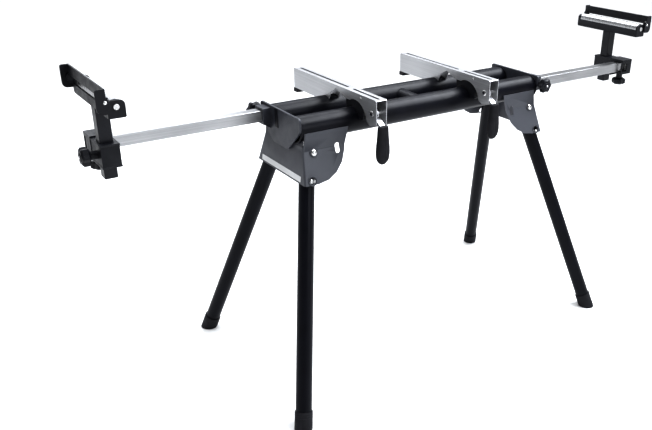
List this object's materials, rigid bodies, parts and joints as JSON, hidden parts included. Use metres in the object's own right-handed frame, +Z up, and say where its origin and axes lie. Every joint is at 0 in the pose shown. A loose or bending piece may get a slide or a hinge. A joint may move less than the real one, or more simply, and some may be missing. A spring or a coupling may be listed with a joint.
{
  "type": "folding miter saw stand",
  "caption": "Folding stand with round rails on splayed legs, sliding tool brackets with lever clamps, and extending arms that carry height-adjustable roller supports with flip-up stops.",
  "frame": {"origin": "on the floor, midway between the feet", "axes": "+X along the rails towards the right end, -Y towards the clamp levers at the front, +Z up"},
  "size_m": [1.842, 0.6492, 0.9116],
  "materials": {
    "bracket_1_channel": "bright zinc",
    "bracket_1_jaw": "matte black",
    "bracket_1_lever_bar": "bright zinc",
    "bracket_1_lever_grip": "matte black",
    "bracket_1_rear_pad": "matte black",
    "bracket_1_rivet": "bright zinc",
    "bracket_2_channel": "bright zinc",
    "bracket_2_jaw": "matte black",
    "bracket_2_lever_bar": "bright zinc",
    "bracket_2_lever_grip": "matte black",
    "bracket_2_rear_pad": "matte black",
    "bracket_2_rivet": "bright zinc",
    "cross_tube": "gloss black",
    "front_rail": "gloss black",
    "left_arm": "brushed",
    "left_arm_end_cap": "matte black",
    "left_arm_glide": "matte black",
    "left_arm_lock_knob": "matte black",
    "left_carriage": "matte black",
    "left_carriage_lock_knob": "matte black",
    "left_end_plate": "satin dark grey",
    "left_flip_stop": "matte black",
    "left_front_foot": "matte black",
    "left_front_latch_button": "bright zinc",
    "left_front_leg": "gloss black",
    "left_front_pivot_bolt": "bright zinc",
    "left_leg_housing": "satin dark grey",
    "left_post": "satin dark grey",
    "left_post_lock_knob": "matte black",
    "left_rear_foot": "matte black",
    "left_rear_latch_button": "bright zinc",
    "left_rear_leg": "gloss black",
    "left_rear_pivot_bolt": "bright zinc",
    "left_roller": "brushed",
    "left_roller_axle": "bright zinc",
    "left_tray": "matte black",
    "rear_rail": "gloss black",
    "right_arm": "brushed",
    "right_arm_end_cap": "matte black",
    "right_arm_glide": "matte black",
    "right_arm_lock_knob": "matte black",
    "right_carriage": "matte black",
    "right_carriage_lock_knob": "matte black",
    "right_end_plate": "satin dark grey",
    "right_flip_stop": "matte black",
    "right_front_foot": "matte black",
    "right_front_latch_button": "bright zinc",
    "right_front_leg": "gloss black",
    "right_front_pivot_bolt": "bright zinc",
    "right_leg_housing": "satin dark grey",
    "right_post": "satin dark grey",
    "right_post_lock_knob": "matte black",
    "right_rear_foot": "matte black",
    "right_rear_latch_button": "bright zinc",
    "right_rear_leg": "gloss black",
    "right_rear_pivot_bolt": "bright zinc",
    "right_roller": "brushed",
    "right_roller_axle": "bright zinc",
    "right_tray": "matte black"
  },
  "bodies": {
    "frame": {"front_rail": "front_rail", "rear_rail": "rear_rail", "cross_tube": "cross_tube", "right_end_plate": "right_end_plate", "right_leg_housing": "right_leg_housing", "right_front_pivot_bolt": "right_front_pivot_bolt", "right_rear_pivot_bolt": "right_rear_pivot_bolt", "left_end_plate": "left_end_plate", "left_leg_housing": "left_leg_housing", "left_front_pivot_bolt": "left_front_pivot_bolt", "left_rear_pivot_bolt": "left_rear_pivot_bolt"},
    "right_front_leg_body": {"right_front_leg": "right_front_leg", "right_front_foot": "right_front_foot"},
    "right_front_button_body": {"right_front_latch_button": "right_front_latch_button"},
    "right_rear_leg_body": {"right_rear_leg": "right_rear_leg", "right_rear_foot": "right_rear_foot"},
    "right_rear_button_body": {"right_rear_latch_button": "right_rear_latch_button"},
    "right_arm_body": {"right_arm": "right_arm", "right_arm_end_cap": "right_arm_end_cap", "right_arm_glide": "right_arm_glide"},
    "right_arm_knob_body": {"right_arm_lock_knob": "right_arm_lock_knob"},
    "right_carriage_body": {"right_carriage": "right_carriage"},
    "right_carriage_knob_body": {"right_carriage_lock_knob": "right_carriage_lock_knob"},
    "right_post_knob_body": {"right_post_lock_knob": "right_post_lock_knob"},
    "right_post_body": {"right_post": "right_post", "right_tray": "right_tray", "right_roller_axle": "right_roller_axle"},
    "right_roller_body": {"right_roller": "right_roller"},
    "right_stop_body": {"right_flip_stop": "right_flip_stop"},
    "left_front_leg_body": {"left_front_leg": "left_front_leg", "left_front_foot": "left_front_foot"},
    "left_front_button_body": {"left_front_latch_button": "left_front_latch_button"},
    "left_rear_leg_body": {"left_rear_leg": "left_rear_leg", "left_rear_foot": "left_rear_foot"},
    "left_rear_button_body": {"left_rear_latch_button": "left_rear_latch_button"},
    "left_arm_body": {"left_arm": "left_arm", "left_arm_end_cap": "left_arm_end_cap", "left_arm_glide": "left_arm_glide"},
    "left_arm_knob_body": {"left_arm_lock_knob": "left_arm_lock_knob"},
    "left_carriage_body": {"left_carriage": "left_carriage"},
    "left_carriage_knob_body": {"left_carriage_lock_knob": "left_carriage_lock_knob"},
    "left_post_knob_body": {"left_post_lock_knob": "left_post_lock_knob"},
    "left_post_body": {"left_post": "left_post", "left_tray": "left_tray", "left_roller_axle": "left_roller_axle"},
    "left_roller_body": {"left_roller": "left_roller"},
    "left_stop_body": {"left_flip_stop": "left_flip_stop"},
    "bracket_1_body": {"bracket_1_channel": "bracket_1_channel", "bracket_1_rear_pad": "bracket_1_rear_pad", "bracket_1_jaw": "bracket_1_jaw", "bracket_1_rivet": "bracket_1_rivet"},
    "bracket_1_lever_body": {"bracket_1_lever_bar": "bracket_1_lever_bar", "bracket_1_lever_grip": "bracket_1_lever_grip"},
    "bracket_2_body": {"bracket_2_channel": "bracket_2_channel", "bracket_2_rear_pad": "bracket_2_rear_pad", "bracket_2_jaw": "bracket_2_jaw", "bracket_2_rivet": "bracket_2_rivet"},
    "bracket_2_lever_body": {"bracket_2_lever_bar": "bracket_2_lever_bar", "bracket_2_lever_grip": "bracket_2_lever_grip"}
  },
  "joints": [
    {"name": "right_front_leg_fold", "type": "hinge", "parent": "frame", "child": "right_front_leg_body", "pos_m": [0.3861, -0.0738, 0.66], "axis": [-0.0828, 0.9363, -0.3414], "range_deg": [0, 103.1]},
    {"name": "right_front_button_press", "type": "slide", "parent": "right_front_leg_body", "child": "right_front_button_body", "axis": [0, 0.946, -0.3242], "range_m": [0, 0.004], "stiffness_N_per_m": 600, "springref_m": -0.002},
    {"name": "right_rear_leg_fold", "type": "hinge", "parent": "frame", "child": "right_rear_leg_body", "pos_m": [0.3861, 0.0738, 0.66], "axis": [0.0828, 0.9363, 0.3414], "range_deg": [0, 103.1]},
    {"name": "right_rear_button_press", "type": "slide", "parent": "right_rear_leg_body", "child": "right_rear_button_body", "axis": [0, -0.946, -0.3242], "range_m": [0, 0.004], "stiffness_N_per_m": 600, "springref_m": -0.002},
    {"name": "right_arm_slide", "type": "slide", "parent": "frame", "child": "right_arm_body", "axis": [-1, 0, 0], "range_m": [0, 0.298]},
    {"name": "right_arm_knob_turn", "type": "hinge", "parent": "frame", "child": "right_arm_knob_body", "pos_m": [0.43455, -0.08875, 0.736], "axis": [0, -1, 0], "continuous": true},
    {"name": "right_carriage_slide", "type": "slide", "parent": "right_arm_body", "child": "right_carriage_body", "axis": [-1, 0, 0], "range_m": [0, 0.06]},
    {"name": "right_carriage_knob_turn", "type": "hinge", "parent": "right_carriage_body", "child": "right_carriage_knob_body", "pos_m": [0.863, -0.067, 0.71325], "axis": [0, 0, -1], "continuous": true},
    {"name": "right_post_knob_turn", "type": "hinge", "parent": "right_carriage_body", "child": "right_post_knob_body", "pos_m": [0.8845, 0, 0.73075], "axis": [1, 0, 0], "continuous": true},
    {"name": "right_post_slide", "type": "slide", "parent": "right_carriage_body", "child": "right_post_body", "axis": [0, 0, 1], "range_m": [-0.08, 0.025]},
    {"name": "right_roller_spin", "type": "hinge", "parent": "right_post_body", "child": "right_roller_body", "pos_m": [0.863, 0, 0.8698], "axis": [0, 1, 0], "continuous": true},
    {"name": "right_stop_flip", "type": "hinge", "parent": "right_post_body", "child": "right_stop_body", "pos_m": [0.886, 0, 0.8825], "axis": [0, 1, 0], "range_deg": [0, 95]},
    {"name": "left_front_leg_fold", "type": "hinge", "parent": "frame", "child": "left_front_leg_body", "pos_m": [-0.3861, -0.0738, 0.66], "axis": [0.0576, -0.9487, 0.3109], "range_deg": [0, 103.1]},
    {"name": "left_front_button_press", "type": "slide", "parent": "left_front_leg_body", "child": "left_front_button_body", "axis": [0, 0.946, -0.3242], "range_m": [0, 0.004], "stiffness_N_per_m": 600, "springref_m": -0.002},
    {"name": "left_rear_leg_fold", "type": "hinge", "parent": "frame", "child": "left_rear_leg_body", "pos_m": [-0.3861, 0.0738, 0.66], "axis": [-0.0576, -0.9487, -0.3109], "range_deg": [0, 103.1]},
    {"name": "left_rear_button_press", "type": "slide", "parent": "left_rear_leg_body", "child": "left_rear_button_body", "axis": [0, -0.946, -0.3242], "range_m": [0, 0.004], "stiffness_N_per_m": 600, "springref_m": -0.002},
    {"name": "left_arm_slide", "type": "slide", "parent": "frame", "child": "left_arm_body", "axis": [1, 0, 0], "range_m": [0, 0.298]},
    {"name": "left_arm_knob_turn", "type": "hinge", "parent": "frame", "child": "left_arm_knob_body", "pos_m": [-0.43455, 0.08875, 0.736], "axis": [0, 1, 0], "continuous": true},
    {"name": "left_carriage_slide", "type": "slide", "parent": "left_arm_body", "child": "left_carriage_body", "axis": [1, 0, 0], "range_m": [0, 0.06]},
    {"name": "left_carriage_knob_turn", "type": "hinge", "parent": "left_carriage_body", "child": "left_carriage_knob_body", "pos_m": [-0.863, 0.067, 0.71325], "axis": [0, 0, -1], "continuous": true},
    {"name": "left_post_knob_turn", "type": "hinge", "parent": "left_carriage_body", "child": "left_post_knob_body", "pos_m": [-0.8845, 0, 0.73075], "axis": [-1, 0, 0], "continuous": true},
    {"name": "left_post_slide", "type": "slide", "parent": "left_carriage_body", "child": "left_post_body", "axis": [0, 0, 1], "range_m": [-0.08, 0.025]},
    {"name": "left_roller_spin", "type": "hinge", "parent": "left_post_body", "child": "left_roller_body", "pos_m": [-0.863, 0, 0.8698], "axis": [0, -1, 0], "continuous": true},
    {"name": "left_stop_flip", "type": "hinge", "parent": "left_post_body", "child": "left_stop_body", "pos_m": [-0.886, 0, 0.8825], "axis": [0, -1, 0], "range_deg": [0, 95]},
    {"name": "bracket_1_slide", "type": "slide", "parent": "frame", "child": "bracket_1_body", "axis": [1, 0, 0], "range_m": [-0.163, 0.187]},
    {"name": "bracket_1_lever_turn", "type": "hinge", "parent": "bracket_1_body", "child": "bracket_1_lever_body", "pos_m": [-0.227, -0.161, 0.764], "axis": [-1, 0, 0], "range_deg": [0, 95]},
    {"name": "bracket_2_slide", "type": "slide", "parent": "frame", "child": "bracket_2_body", "axis": [1, 0, 0], "range_m": [-0.109, 0.231]},
    {"name": "bracket_2_lever_turn", "type": "hinge", "parent": "bracket_2_body", "child": "bracket_2_lever_body", "pos_m": [0.159, -0.161, 0.764], "axis": [-1, 0, 0], "range_deg": [0, 95]}
  ]
}
